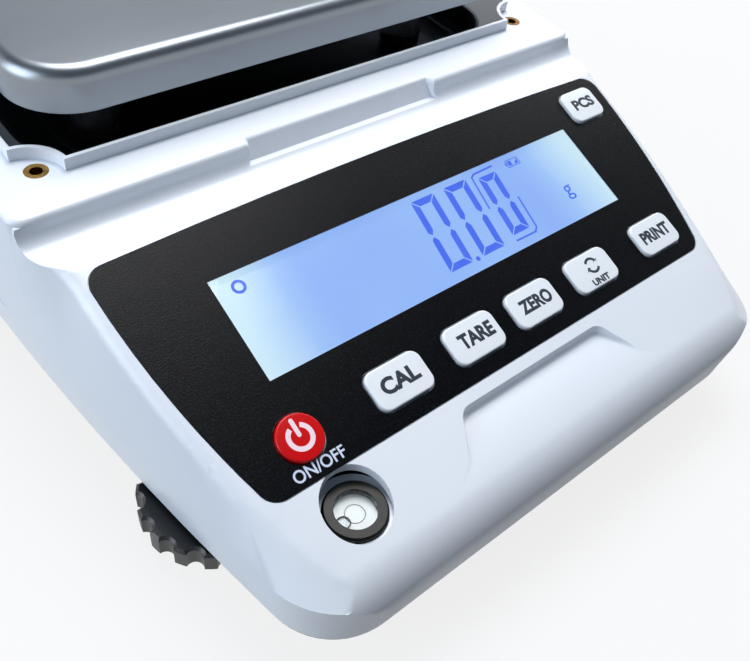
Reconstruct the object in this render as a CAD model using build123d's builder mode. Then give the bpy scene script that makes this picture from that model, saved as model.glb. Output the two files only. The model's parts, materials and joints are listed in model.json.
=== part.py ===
from build123d import *
import os
from math import cos, radians, sin, tan

# Precision balance with a square pan on a raised deck and a sloping keypad console.
# Millimetres. X runs to the right, Y to the back, Z up. The origin is on the table,
# below the middle of the case.

# Case
case_width = 206.0
case_depth = 307.0
parting_height = 13.7
belt_height = 31.5
deck_height = 70.8
wall = 2.5
belt_tuck = 1.8
belt_narrowing = 18.4
belt_corner = 22.0
belt_bend_y = 40.0
rear_corner = 14.0

# Console, whose top is a tilted plane through the front edge of the keypad
panel_tilt = 19.7
panel_setback = 28.5
panel_z = 42.5
roll_radius = 14.0
rim_margin = 3.0
rim_side_margin = 31.7
rim_front_v = -32.0
rim_corner = 12.0
rim_round = 4.0

# Valley between the console and the deck
valley_start_v = 68.5
valley_reach = 4.9
valley_end_z = 64.3
cove_drop = 1.5
cove_bury = 0.1
flare_end_gap = 1.0
flare_draft = 2.4
console_tail = 16.0

# Deck
console_run = 109.4
deck_draft = 2.0
deck_step = 0.3
deck_lean = 3.0
deck_corner = 4.0
deck_edge_round = 1.6
notch_half_width = 32.0
notch_depth = 3.0
notch_slant = 4.5
notch_rise = 1.0

# Thumb recess in the front of the console
thumb_back_v = -3.9
thumb_front_v = -20.0
thumb_half_back = 26.0
thumb_half_front = 36.5
thumb_depth = 3.0
thumb_floor_tilt = 6.0
thumb_corner = 4.0
thumb_wall_draft = 12.0
thumb_floor_round = 1.4

# Keypad overlay
overlay_length = 67.9
overlay_front_margin = 23.0
overlay_side_margin = 13.3
overlay_arch = 2.2
overlay_corner = 5.0
overlay_thickness = 0.5
overlay_recess = 0.6
overlay_gap = 0.25

# Display
window_side_margin = 15.0
window_height = 28.8
window_v = 39.8
window_lap = 1.3
window_thickness = 0.9
fit_gap = 0.2
lcd_side_border = 3.5
lcd_border = 4.6
lcd_thickness = 2.8
backlight_thickness = 3.8
board_thickness = 1.6
display_board_overhang = 1.0
display_board_front_v = 2.5
display_board_back_margin = 1.9
board_boss_radius = 3.2
board_screw_radius = 1.25
board_screw_bite = 5.0
thread_gap = 0.05
board_boss_margin = 4.0
board_boss_vs = (24.0, 46.0)

# Keys
key_width = 17.3
key_height = 11.0
key_corner = 2.8
key_row_v = 10.3
key_shares = {"cal": -0.4575, "tare": -0.1363, "zero": 0.1525, "unit": 0.4588, "print": 0.8363}
pcs_width = 14.0
pcs_height = 11.4
pcs_side_margin = 11.7
pcs_back_margin = 8.8
power_radius = 5.9
power_side_margin = 13.6
power_v = 10.4
key_rise = 0.9
key_edge_round = 0.5
key_hole_gap = 0.35
key_flange = 1.2
key_flange_thickness = 1.0
key_flange_gap = 0.15
key_stem_radius = 1.6
key_stem_length = 2.5
key_travel = 0.6
switch_size = 6.0
switch_well_radius = 1.75
switch_overlap = 0.4

# Spirit level
level_side_margin = 16.7
level_v = -8.9
level_radius = 7.8
level_bore = 5.2
cup_floor = 6.5
level_edge = 0.5
level_height = 9.5
level_hole_radius = 8.7
level_rise = 0.7
level_ledge = 1.5
lens_drop = 0.6
level_pocket_wall = 2.3
level_pocket_gap = 0.15
level_pocket_floor = 1.6
target_thickness = 0.6
lens_thickness = 1.2

# Plinth, cover plate and threaded inserts
plinth_side_margin = 14.6
plinth_front_margin = 12.9
plinth_rear_margin = 7.7
plinth_rise = 3.4
plinth_notch = 10.0
plate_border = 1.1
plate_gap = 0.15
plate_thickness = 1.0
plate_hole = 14.0
deck_hole = 15.0
insert_side_margin = 3.9
insert_end_margin = 3.45
insert_radius = 3.05
insert_length = 8.0
insert_thread_radius = 1.65
insert_boss_radius = 5.2

# Pan
pan_size = 165.0
pan_corner = 18.0
pan_bottom = 80.6
pan_height = 11.5
pan_sheet = 1.0
pan_edge_round = 4.0
pan_field = 134.0
pan_field_corner = 8.0
pan_field_sink = 0.4

# Pan support and what joins it to the load cell
support_hub_radius = 17.0
support_bottom = 77.0
support_top = 86.5
support_arm_height = 6.5
support_arm_width = 12.0
support_reach = 58.0
pad_radius = 7.0
pad_stem_radius = 2.5
pad_seat_gap = 0.2
pad_edge = 0.8
support_corner = 3.0
post_radius = 10.0
post_bore = 3.2
bracket_width = 34.0
bracket_thickness = 6.0
bracket_overhang = 22.0
bracket_corner = 5.0
nut_radius = 5.0
nut_height = 2.0
bolt_head_height = 2.5
bolt_reach = 1.0

# Load cell on its chassis plate
cell_length = 130.0
cell_width = 30.0
cell_height = 22.0
cell_eye_radius = 7.0
cell_eye_pitch = 36.0
cell_slot = 3.0
cell_end_pitch = 15.0
cell_end_inset = 9.5
cell_screw_radius = 2.9
cell_screw_hole = 3.0
cell_screw_head_radius = 5.0
cell_screw_head_height = 5.0
cell_screw_bite = 12.0
low_head_radius = 4.6
low_head_height = 1.5
spacer_thickness = 3.0
spacer_length = 32.0
chassis_board_gap = 3.0
chassis_length = 172.0
chassis_bottom = 17.0
chassis_thickness = 5.0
chassis_window = 28.0
chassis_rim = 4.0
chassis_rim_height = 5.0
chassis_bolt_margin = 10.0
chassis_bolt_radius = 2.0
chassis_bolt_reach = 2.5
chassis_bolt_head_radius = 3.6
chassis_bolt_head_height = 2.4
chassis_post_radius = 4.4
chassis_corner = 8.0
chassis_inner_corner = 4.0
chassis_window_corner = 6.0
stop_gap = 0.4
stop_radius = 3.0

# Bottom case
base_thickness = 2.5
base_rim_height = 1.1
base_rim_inset = 0.4
lip_height = 5.0
lip_thickness = 2.0
lip_gap = 0.25

# Case screws
screw_radius = 1.45
screw_boss_bore = 1.5
screw_hole_radius = 1.7
screw_head_radius = 2.9
screw_head_height = 1.2
screw_length = 12.0
case_boss_radius = 4.2
screw_waist_margin = 16.0
screw_waist_reach = 5.9
screw_side_margin = 12.0
screw_rear_margin = 15.5
screw_front_margin = 11.5
screw_front_x = 44.0

# Levelling feet
foot_side_margin = 24.5
foot_front_margin = 57.5
foot_rear_margin = 28.5
pad_height = 4.0
pad_foot_radius = 13.0
pad_foot_edge = 1.2
knob_edge = 0.8
knob_radius = 20.0
knob_lobes = 16
knob_scallop = 2.4
knob_thickness = 6.8
knob_gap = 0.2
stud_radius = 4.0
stud_length = 28.0
stud_neck_radius = 3.0
stud_neck_gap = 0.05
stud_neck_length = 2.6
bush_radius = 5.5
bush_length = 12.0
bush_gap = 0.05
foot_boss_radius = 8.0

# Electronics and battery
main_board_width = 34.0
main_board_length = 118.0
main_board_side_margin = 37.0
main_board_offset = 17.3
main_board_height = 21.0
main_boss_radius = 3.0
main_hole_margin = 4.0
main_hole_pitch_x = main_board_width - 2 * main_hole_margin
main_hole_pitch_y = main_board_length - 2 * main_hole_margin
main_screw_bite = 4.0
main_boss_bore_depth = 5.0
ribbon_connector_margin = 6.0
ribbon_connector_depth = 5.0
cable_connector_margin = 6.0
cable_connector_width = 6.0
cable_connector_length = 9.0
cable_rear_margin = 14.0
shield_can_width = 20.0
shield_can_length = 26.0
shield_can_offset = 12.0
chip_size = 12.0
chip_offset = 22.0
battery_length = 72.0
battery_width = 38.0
battery_height = 19.0
battery_front_margin = 76.5
battery_gap = 0.6
battery_cover_length = 78.0
battery_cover_width = 46.0
battery_cover_corner = 5.0
battery_cover_gap = 0.05
grip_pitch = 12.0
grip_length = 14.0
grip_width = 2.0
socket_height = 46.0
power_socket_radius = 4.0
power_socket_bore = 2.75
power_socket_depth = 9.0
power_pin_radius = 1.0
power_body_size = 11.0
power_body_depth = 12.0
socket_pitch = 36.0
serial_shell_width = 17.0
serial_shell_height = 8.4
serial_flange_width = 31.0
serial_flange_height = 12.5
serial_post_pitch = 25.0
serial_post_radius = 2.4
serial_post_bore = 1.0
serial_post_tail_radius = 1.5
serial_post_tail = 5.0
serial_shell_corner = 2.0
serial_body_margin = 1.0
serial_body_depth = 8.0
serial_pin_pitch = 2.77
serial_row_offset = 1.4
serial_pin_radius = 0.55
serial_pin_depth = 6.0
socket_flange_thickness = 1.0
ribbon_width = 12.0
ribbon_thickness = 0.8
ribbon_bend = 8.0
cable_radius = 1.5
connector_height = 6.0

os.makedirs("parts", exist_ok=True)

front_y = -case_depth / 2
rear_y = case_depth / 2
half_width = case_width / 2
belt_run = belt_bend_y - front_y
belt_taper = belt_narrowing
belt_radius = (belt_run ** 2 + belt_taper ** 2) / (2 * belt_taper)
tilt = radians(panel_tilt)
panel_y = front_y + panel_setback
deck_front_y = front_y + console_run
valley_end_y = deck_front_y - valley_reach
PANEL = Plane(origin=(0, panel_y, panel_z), x_dir=(1, 0, 0), z_dir=(0, -sin(tilt), cos(tilt)))
overlay_half_front = half_width - overlay_front_margin
overlay_half_rear = half_width - overlay_side_margin
rim_half_front = half_width - rim_side_margin
rim_half_rear = overlay_half_rear + rim_margin
rim_bend_v = overlay_length - rim_margin
flare_y = panel_y + rim_bend_v * cos(tilt)
flare_end_y = deck_front_y - flare_end_gap
console_end_y = deck_front_y + console_tail
plinth_width = case_width - 2 * plinth_side_margin
plinth_length = rear_y - plinth_rear_margin - deck_front_y - plinth_front_margin
plinth_y = rear_y - plinth_rear_margin - plinth_length / 2
plinth_top = deck_height + plinth_rise
insert_pitch_x = plinth_width - 2 * insert_side_margin
insert_pitch_y = plinth_length - 2 * insert_end_margin
base_bottom = parting_height - base_rim_height - 0.1
base_top = base_bottom + base_thickness
window_width = 2 * (overlay_half_front - window_side_margin)
lcd_width = window_width + 2 * lcd_side_border
lcd_height = window_height + 2 * lcd_border
lcd_top = -(wall + fit_gap)
backlight_top = lcd_top - lcd_thickness - fit_gap / 2
board_top = backlight_top - backlight_thickness - fit_gap / 2
display_board_width = 2 * (overlay_half_front + display_board_overhang)
display_board_back_v = overlay_length - display_board_back_margin
board_boss_u = overlay_half_front - board_boss_margin
key_us = {name: round(share * overlay_half_front, 1) for name, share in key_shares.items()}
pcs_u = overlay_half_rear - pcs_side_margin
pcs_v = overlay_length - pcs_back_margin
power_u = power_side_margin - overlay_half_front
level_x = level_side_margin - overlay_half_front
level_y = panel_y + level_v * cos(tilt)
main_board_x = half_width - main_board_side_margin
main_board_y = plinth_y - main_board_offset
battery_y = front_y + battery_front_margin
power_socket_x = main_board_x
serial_socket_x = power_socket_x - socket_pitch
chassis_width = 2 * (main_board_x - main_board_width / 2 - chassis_board_gap)
chassis_bolt_x = chassis_width - 2 * chassis_bolt_margin
chassis_bolt_y = chassis_length - 2 * chassis_bolt_margin
chassis_top = chassis_bottom + chassis_thickness
cell_bottom = chassis_top + spacer_thickness
cell_top = cell_bottom + cell_height
bracket_bottom = cell_top + spacer_thickness
bracket_top = bracket_bottom + bracket_thickness
foot_x = half_width - foot_side_margin
foot_front_y = front_y + foot_front_margin
foot_rear_y = rear_y - foot_rear_margin
case_screw_places = [(side * x, y) for side in (-1, 1)
                     for x, y in ((half_width - screw_waist_margin, deck_front_y - screw_waist_reach),
                                  (half_width - screw_side_margin, plinth_y),
                                  (half_width - screw_side_margin, rear_y - screw_rear_margin),
                                  (screw_front_x, front_y + screw_front_margin))]
foot_places = {"front_left": (-foot_x, foot_front_y), "front_right": (foot_x, foot_front_y),
               "rear_left": (-foot_x, foot_rear_y), "rear_right": (foot_x, foot_rear_y)}


def panel_height(y):
    """Height of the console plane above the table at a given Y."""
    return panel_z + (y - panel_y) * tan(tilt)


def belt_half(y):
    """Half width of the belt line at a given Y, ahead of where its sides turn straight."""
    return case_width / 2 - belt_radius + (belt_radius ** 2 - (belt_bend_y - y) ** 2) ** 0.5


def save(part, name):
    """Label a finished piece and write it to its own file."""
    part.label = name
    export_step(part, f"parts/{name}.step")


def outer_corners(sketch):
    """Front and rear corner vertices of an outline that is symmetric about X = 0."""
    rows = sketch.vertices().filter_by(lambda v: abs(v.X) > 1).group_by(Axis.Y)
    return rows[0], rows[-1]


def plan(plane, half_rear, half_front, front, rear, bend, corner, back_corner=0.0):
    """Closed outline with straight rear sides that curve in towards the front."""
    with BuildSketch(plane) as sketch:
        with BuildLine():
            Line((0, front), (half_front, front))
            TangentArc((half_rear, bend), (half_front, front), tangent=(0, -1))
            Line((half_rear, bend), (half_rear, rear))
            Line((half_rear, rear), (0, rear))
            mirror(about=Plane.YZ)
        make_face()
        fillet(outer_corners(sketch)[0], corner)
        if back_corner:
            fillet(outer_corners(sketch)[1], back_corner)
    return sketch.sketch.face()


def belt_points(inset, *places):
    """Points of the belt line at several places along Y, drawn in by an inset."""
    return [(belt_half(min(y, belt_bend_y)) - inset, y) for y in places]


def belt_arc(start, stop, inset):
    """Arc of the belt line between two places along Y, inside a line builder."""
    return ThreePointArc(*belt_points(inset, start, (start + stop) / 2, stop))


def belt_plan(height, inset):
    """Outline of the case at a height, drawn in by an inset."""
    front = front_y + inset
    back = rear_y - inset
    with BuildSketch(Plane.XY.offset(height)) as sketch:
        with BuildLine():
            Line((0, front), belt_points(inset, front)[0])
            belt_arc(front, flare_y, inset)
            belt_arc(flare_y, flare_end_y, inset)
            belt_arc(flare_end_y, belt_bend_y, inset)
            Polyline(*belt_points(inset, belt_bend_y, back), (0, back))
            mirror(about=Plane.YZ)
        make_face()
        fillet(outer_corners(sketch)[0], belt_corner - inset)
        fillet(outer_corners(sketch)[1], rear_corner - inset)
    return sketch.sketch.face()


def console_foot(height, inset):
    """Outline of the console at the belt line, which ends inside the deck."""
    front = front_y + inset
    with BuildSketch(Plane.XY.offset(height)) as sketch:
        with BuildLine():
            Line((0, front), belt_points(inset, front)[0])
            belt_arc(front, flare_y, inset)
            belt_arc(flare_y, flare_end_y, inset)
            belt_arc(flare_end_y, console_end_y, inset)
            Line(belt_points(inset, console_end_y)[0], (0, console_end_y))
            mirror(about=Plane.YZ)
        make_face()
        fillet(outer_corners(sketch)[0], belt_corner - inset)
    return sketch.sketch.face()


def console_rim(inset):
    """Outline of the console on its tilted plane, whose sides flare out to meet the deck."""
    front_v = rim_front_v + inset
    half_front = rim_half_front - inset
    half_rear = rim_half_rear - inset
    half_deck = belt_half(deck_front_y) - flare_draft - inset
    flare_end_v = (flare_end_y - panel_y) / cos(tilt)
    end_v = (console_end_y - panel_y) / cos(tilt)
    with BuildSketch(PANEL.offset(-inset)) as sketch:
        with BuildLine():
            Line((0, front_v), (half_front, front_v))
            TangentArc((half_rear, rim_bend_v), (half_front, front_v), tangent=(0, -1))
            Spline((half_rear, rim_bend_v), (half_deck, flare_end_v), tangents=[(0, 1), (0, 1)])
            Polyline((half_deck, flare_end_v), (half_deck, end_v), (0, end_v))
            mirror(about=Plane.YZ)
        make_face()
        fillet(outer_corners(sketch)[0], rim_corner - inset / 2)
    return sketch.sketch.face()


def overlay_outline(offset, grow):
    """Outline of the keypad overlay on the console plane, grown by a margin."""
    half_front = overlay_half_front + grow
    half_rear = overlay_half_rear + grow
    top = overlay_length + grow
    with BuildSketch(PANEL.offset(offset)) as sketch:
        with BuildLine():
            Line((0, -grow), (half_front, -grow))
            TangentArc((half_rear, top), (half_front, -grow), tangent=(0, -1))
            TangentArc((0, top + overlay_arch), (half_rear, top), tangent=(1, 0))
            mirror(about=Plane.YZ)
        make_face()
        fillet(sketch.vertices().filter_by(lambda v: abs(v.X) > 1), overlay_corner + grow)
    return sketch.sketch


def key_outlines(offset, grow):
    """Outlines of all seven keys on the console plane, grown by a margin."""
    with BuildSketch(PANEL.offset(offset)) as sketch:
        with Locations(*[(u, key_row_v) for u in key_us.values()]):
            RectangleRounded(key_width + 2 * grow, key_height + 2 * grow, key_corner + grow)
        with Locations((pcs_u, pcs_v)):
            RectangleRounded(pcs_width + 2 * grow, pcs_height + 2 * grow, key_corner + grow)
        with Locations((power_u, power_v)):
            Circle(power_radius + grow)
    return sketch.sketch


def plinth_outline(height, inset):
    """Square outline with a concave quarter notch at each corner."""
    with BuildSketch(Plane.XY.offset(height)) as sketch:
        with Locations((0, plinth_y)):
            Rectangle(plinth_width - 2 * inset, plinth_length - 2 * inset)
            with GridLocations(plinth_width, plinth_length, 2, 2):
                Circle(plinth_notch + inset, mode=Mode.SUBTRACT)
    return sketch.sketch


def front_roll(inset):
    """What is cut away above and in front of the round nose of the case."""
    front_line = front_y + inset
    centre_y = front_line + roll_radius
    corner_z = panel_height(front_line) - inset / cos(tilt)
    leg = roll_radius * tan((radians(90) - tilt) / 2)
    low_point = (front_line, corner_z - leg)
    high_point = (front_line + leg * cos(tilt), corner_z + leg * sin(tilt))
    above = corner_z + 4 * wall
    ahead = front_line - wall
    with BuildPart() as cut:
        with BuildSketch(Plane.YZ.offset(-case_width)):
            with BuildLine():
                TangentArc(low_point, high_point, tangent=(0, 1))
                Polyline(high_point, (centre_y, above), (ahead, above), (ahead, low_point[1]), low_point)
            make_face()
        extrude(amount=2 * case_width)
    return cut.part


def notch(inset):
    """Wedge cut out of the top of the deck's front wall, in the middle, with slanted ends."""
    half = notch_half_width + inset
    foot_y = deck_front_y - deck_lean
    back_y = deck_front_y + notch_depth + inset
    foot_z = valley_end_z + notch_rise - inset
    top_z = deck_height - inset
    with BuildPart() as cut:
        with BuildSketch(Plane.YZ.offset(-half - notch_slant)):
            with BuildLine():
                Polyline((foot_y - deck_lean, foot_z), (deck_front_y + inset, foot_z), (back_y, top_z),
                         (back_y, top_z + wall), (foot_y - deck_lean, top_z + wall), close=True)
            make_face()
        extrude(amount=2 * (half + notch_slant))
        with BuildSketch(Plane.XY.offset(foot_z)):
            with BuildLine():
                Polyline((-half - notch_slant, foot_y - deck_lean), (-half, back_y), (half, back_y),
                         (half + notch_slant, foot_y - deck_lean), close=True)
            make_face()
        extrude(amount=top_z + wall - foot_z, mode=Mode.INTERSECT)
    return cut.part


def console_form(inset):
    """Console: a ruled body from the belt line up to the rim on the tilted plane."""
    with BuildPart() as form:
        loft([console_foot(belt_height - inset, inset), console_rim(inset)], ruled=True)
        add(front_roll(inset), mode=Mode.SUBTRACT)
        if inset == 0:
            console_top = form.faces().sort_by(Axis((0, 0, 0), PANEL.z_dir))[-1]
            fillet(console_top.edges().filter_by(lambda e: abs(e.center().X) > 1), rim_round)
        start = (panel_y + valley_start_v * cos(tilt) + 0.1,
                 panel_z + valley_start_v * sin(tilt) - inset / cos(tilt))
        stop = (valley_end_y, valley_end_z - inset)
        cove_end = (deck_front_y + cove_bury + inset, deck_height - cove_drop - inset)
        above = 2 * deck_height
        with BuildSketch(Plane.YZ.offset(-case_width)):
            with BuildLine():
                Spline(start, stop, tangents=[(cos(tilt), sin(tilt)), (1, 0)])
                TangentArc(stop, cove_end, tangent=(1, 0))
                Polyline(cove_end, (rear_y, cove_end[1]), (rear_y, above), (panel_y, above), start)
            make_face()
        extrude(amount=2 * case_width, mode=Mode.SUBTRACT)
        add(notch(inset), mode=Mode.SUBTRACT)
    return form.part


def deck_form(inset):
    """Raised deck behind the console, with its front edge stepped back in the middle."""
    front_top = deck_front_y + inset
    front_low = front_top - deck_lean
    drawn_in = inset + deck_draft
    stepped = inset + deck_step
    low = plan(Plane.XY.offset(belt_height - inset), case_width / 2 - stepped, belt_half(front_low) - stepped,
               front_low, rear_y - stepped, belt_bend_y, deck_corner, rear_corner - inset)
    high = plan(Plane.XY.offset(deck_height - inset), case_width / 2 - drawn_in,
                belt_half(front_top) - drawn_in, front_top, rear_y - stepped, belt_bend_y,
                deck_corner, rear_corner - inset)
    with BuildPart() as form:
        loft([low, high], ruled=True)
        add(notch(inset), mode=Mode.SUBTRACT)
        if inset == 0:
            top_edges = form.faces().sort_by(Axis.Z)[-1].edges()
            fillet(top_edges, deck_edge_round)
    return form.part


def case_form(inset, base):
    """Whole form of the top case, drawn in by an inset and reaching down to a base height."""
    console = console_form(inset)
    deck = deck_form(inset)
    with BuildPart() as form:
        loft([belt_plan(base, inset + belt_tuck), belt_plan(belt_height - inset, inset)], ruled=True)
        add(front_roll(inset), mode=Mode.SUBTRACT)
        add(console)
        add(deck)
    return form.part


def thumb_recess(grow=0.0):
    """Shallow scoop whose floor fades out at the front roll of the console, grown by a wall."""
    back_y = panel_y + thumb_back_v * cos(tilt)
    floor_z = panel_height(back_y) - thumb_depth - grow
    floor_tilt = radians(thumb_floor_tilt)
    floor = Plane(origin=(0, back_y, floor_z), x_dir=(1, 0, 0),
                  z_dir=(0, -sin(floor_tilt), cos(floor_tilt)))
    reach = thumb_front_v - thumb_back_v - grow
    with BuildPart() as recess:
        with BuildSketch(floor) as scoop:
            with BuildLine():
                Polyline((-thumb_half_back - grow, grow), (thumb_half_back + grow, grow),
                         (thumb_half_front + grow, reach), (-thumb_half_front - grow, reach), close=True)
            make_face()
            fillet(outer_corners(scoop)[1], thumb_corner)
        extrude(amount=4 * thumb_depth, taper=-thumb_wall_draft)
        if grow == 0:
            fillet(recess.faces().sort_by(Axis.Z)[0].edges().sort_by(Axis.Y)[1:], thumb_floor_round)
    return recess.part


level_top = panel_height(level_y - level_hole_radius) + level_rise
level_bottom = level_top - level_height
case_outside = case_form(0, parting_height)
with BuildPart() as case_inside:
    add(case_form(wall, parting_height - 1))
    add(thumb_recess(wall), mode=Mode.SUBTRACT)
with BuildPart() as boss_columns:
    with BuildSketch(Plane.XY.offset(base_top)):
        with Locations(*case_screw_places):
            Circle(case_boss_radius)
    extrude(amount=deck_height - base_top)
    add(case_outside, mode=Mode.INTERSECT)

# Top case: a moulded shell with the openings, pockets and bosses that its pieces need
with BuildPart() as top_case:
    add(case_outside)
    extrude(plinth_outline(deck_height - 0.5, 0), amount=plinth_rise + 0.5)
    add(case_inside.part, mode=Mode.SUBTRACT)
    extrude(plinth_outline(deck_height - wall - 1, wall), amount=1 + plinth_rise - plate_thickness,
            mode=Mode.SUBTRACT)
    add(boss_columns.part)
    with BuildSketch(Plane.XY.offset(base_top)):
        with Locations(*case_screw_places):
            Circle(screw_boss_bore)
    extrude(amount=screw_length, mode=Mode.SUBTRACT)
    extrude(plinth_outline(plinth_top - plate_thickness, plate_border), amount=plate_thickness + 1,
            mode=Mode.SUBTRACT)
    with Locations((0, plinth_y, plinth_top)):
        Cylinder(deck_hole, 6 * wall, mode=Mode.SUBTRACT)
    add(thumb_recess(), mode=Mode.SUBTRACT)
    extrude(overlay_outline(-overlay_recess, overlay_gap), amount=2 * overlay_recess, mode=Mode.SUBTRACT)
    extrude(key_outlines(wall, key_hole_gap), amount=-3 * wall, mode=Mode.SUBTRACT)
    with BuildSketch(PANEL.offset(wall)):
        with Locations((0, window_v)):
            Rectangle(window_width + 2 * (window_lap + fit_gap), window_height + 2 * (window_lap + fit_gap))
    extrude(amount=-3 * wall, mode=Mode.SUBTRACT)
    # Bosses that the display board is screwed to
    with BuildSketch(PANEL.offset(-wall + 0.5)):
        with Locations(*[(side * board_boss_u, v) for side in (-1, 1) for v in board_boss_vs]):
            Circle(board_boss_radius)
    extrude(amount=board_top + wall - 0.5)
    with BuildSketch(PANEL.offset(board_top)):
        with Locations(*[(side * board_boss_u, v) for side in (-1, 1) for v in board_boss_vs]):
            Circle(board_screw_radius)
    extrude(amount=-board_top - wall - 0.5, mode=Mode.SUBTRACT)
    # Pocket of the spirit level
    pocket_bottom = level_bottom - level_pocket_floor
    with BuildSketch(Plane.XY.offset(pocket_bottom)):
        with Locations((level_x, level_y)):
            Circle(level_radius + level_pocket_gap + level_pocket_wall)
    extrude(amount=level_top - pocket_bottom - level_ledge)
    with BuildSketch(Plane.XY.offset(level_bottom)):
        with Locations((level_x, level_y)):
            Circle(level_radius + level_pocket_gap)
    extrude(amount=level_height * 2, mode=Mode.SUBTRACT)
    with BuildSketch(Plane.XY.offset(level_top - level_ledge)):
        with Locations((level_x, level_y)):
            Circle(level_hole_radius)
    extrude(amount=level_height, mode=Mode.SUBTRACT)
    with BuildSketch(Plane.XY.offset(pocket_bottom)):
        with Locations((level_x, level_y)):
            Circle(level_bore)
    extrude(amount=level_pocket_floor, mode=Mode.SUBTRACT)
    # Openings for the sockets in the rear wall
    with BuildSketch(Plane.XZ.offset(-rear_y - 1)):
        with Locations((power_socket_x, socket_height)):
            Circle(power_socket_radius + fit_gap)
        with Locations((serial_socket_x, socket_height)):
            RectangleRounded(serial_shell_width + 2 * fit_gap, serial_shell_height + 2 * fit_gap,
                             serial_shell_corner)
            with GridLocations(serial_post_pitch, 0, 2, 1):
                Circle(serial_post_radius + fit_gap)
    extrude(amount=2 * wall, mode=Mode.SUBTRACT)
    # Bosses and holes of the threaded inserts
    with BuildSketch(Plane.XY.offset(deck_height - insert_length - wall)):
        with Locations((0, plinth_y)):
            with GridLocations(insert_pitch_x, insert_pitch_y, 2, 2):
                Circle(insert_boss_radius)
    extrude(amount=insert_length + wall / 2)
    with BuildSketch(Plane.XY.offset(deck_height - insert_length)):
        with Locations((0, plinth_y)):
            with GridLocations(insert_pitch_x, insert_pitch_y, 2, 2):
                Circle(insert_radius)
    extrude(amount=insert_length + 1, mode=Mode.SUBTRACT)
save(top_case.part, "top_case")


def cylinder_group(places, radius, bottom, height, bore=0.0):
    """Round pieces standing at several places, optionally with a bore right through."""
    with BuildPart() as group:
        with BuildSketch(Plane.XY.offset(bottom)):
            with Locations(*places):
                Circle(radius)
                if bore:
                    Circle(bore, mode=Mode.SUBTRACT)
        extrude(amount=height)
    return group.part


# Keypad overlay: a thin sheet with an aperture for the display and one for each key
with BuildPart() as keypad_overlay:
    extrude(overlay_outline(-overlay_recess, 0), amount=overlay_thickness)
    extrude(key_outlines(-wall, key_hole_gap + 0.1), amount=2 * wall, mode=Mode.SUBTRACT)
    with BuildSketch(PANEL.offset(-wall)):
        with Locations((0, window_v)):
            Rectangle(window_width, window_height)
    extrude(amount=2 * wall, mode=Mode.SUBTRACT)
save(keypad_overlay.part, "keypad_overlay")


def panel_slab(width, height, v, top, thickness):
    """Flat rectangular piece parallel to the console, centred across the case."""
    with BuildPart() as slab:
        with BuildSketch(PANEL.offset(top)):
            with Locations((0, v)):
                Rectangle(width, height)
        extrude(amount=-thickness)
    return slab.part


# Display: window, liquid crystal glass and backlight, stacked under the console
display_window = panel_slab(window_width + 2 * window_lap, window_height + 2 * window_lap, window_v,
                            -overlay_recess, window_thickness)
save(display_window, "display_window")
lcd_glass = panel_slab(lcd_width, lcd_height, window_v, lcd_top, lcd_thickness)
save(lcd_glass, "lcd_glass")
backlight = panel_slab(lcd_width, lcd_height, window_v, backlight_top, backlight_thickness)
save(backlight, "backlight")

# Display board with its screw holes
board_height = display_board_back_v - display_board_front_v
with BuildPart() as display_board:
    add(panel_slab(display_board_width, board_height, display_board_front_v + board_height / 2,
                   board_top, board_thickness))
    with BuildSketch(PANEL.offset(board_top - board_thickness)):
        with Locations(*[(side * board_boss_u, v) for side in (-1, 1) for v in board_boss_vs]):
            Circle(board_screw_radius + fit_gap)
    extrude(amount=board_thickness, mode=Mode.SUBTRACT)
save(display_board.part, "display_board")

with BuildPart() as board_screws:
    with BuildSketch(PANEL.offset(board_top - board_thickness)):
        with Locations(*[(side * board_boss_u, v) for side in (-1, 1) for v in board_boss_vs]):
            Circle(2 * board_screw_radius)
    extrude(amount=-board_screw_radius)
    with BuildSketch(PANEL.offset(board_top - board_thickness)):
        with Locations(*[(side * board_boss_u, v) for side in (-1, 1) for v in board_boss_vs]):
            Circle(board_screw_radius - thread_gap)
    extrude(amount=board_thickness + board_screw_bite)
save(board_screws.part, "board_screws")

# Keys: rounded caps with a retaining flange and a stem that reaches into the switch below
flange_top = -(wall + key_flange_gap)
stem_tip = flange_top - key_flange_thickness - key_stem_length
switch_top = stem_tip + switch_overlap


def key_cap(name, u, v, width=0.0, height=0.0, radius=0.0):
    """One key, rectangular when a width and height are given and round otherwise."""

    def face(grow):
        with Locations((u, v)):
            if radius:
                Circle(radius + grow)
            else:
                RectangleRounded(width + 2 * grow, height + 2 * grow, key_corner + grow)

    with BuildPart() as key:
        with BuildSketch(PANEL.offset(flange_top)):
            face(0)
        extrude(amount=key_rise - flange_top)
        fillet(key.faces().sort_by(Axis((0, 0, 0), PANEL.z_dir))[-1].edges(), key_edge_round)
        with BuildSketch(PANEL.offset(flange_top)):
            face(key_flange)
        extrude(amount=-key_flange_thickness)
        with BuildSketch(PANEL.offset(stem_tip)):
            with Locations((u, v)):
                Circle(key_stem_radius)
        extrude(amount=key_stem_length)
    save(key.part, f"key_{name}")


for key_name, key_u in key_us.items():
    key_cap(key_name, key_u, key_row_v, key_width, key_height)
key_cap("pcs", pcs_u, pcs_v, pcs_width, pcs_height)
key_cap("power", power_u, power_v, radius=power_radius)

# Switches on the display board, each with a well for the stem of its key
switch_places = [(u, key_row_v) for u in key_us.values()] + [(pcs_u, pcs_v), (power_u, power_v)]
with BuildPart() as key_switches:
    with BuildSketch(PANEL.offset(board_top)):
        with Locations(*switch_places):
            Rectangle(switch_size, switch_size)
    extrude(amount=switch_top - board_top)
    with BuildSketch(PANEL.offset(switch_top)):
        with Locations(*switch_places):
            Circle(switch_well_radius)
    extrude(amount=-(switch_overlap + 2 * key_travel), mode=Mode.SUBTRACT)
save(key_switches.part, "key_switches")

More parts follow.
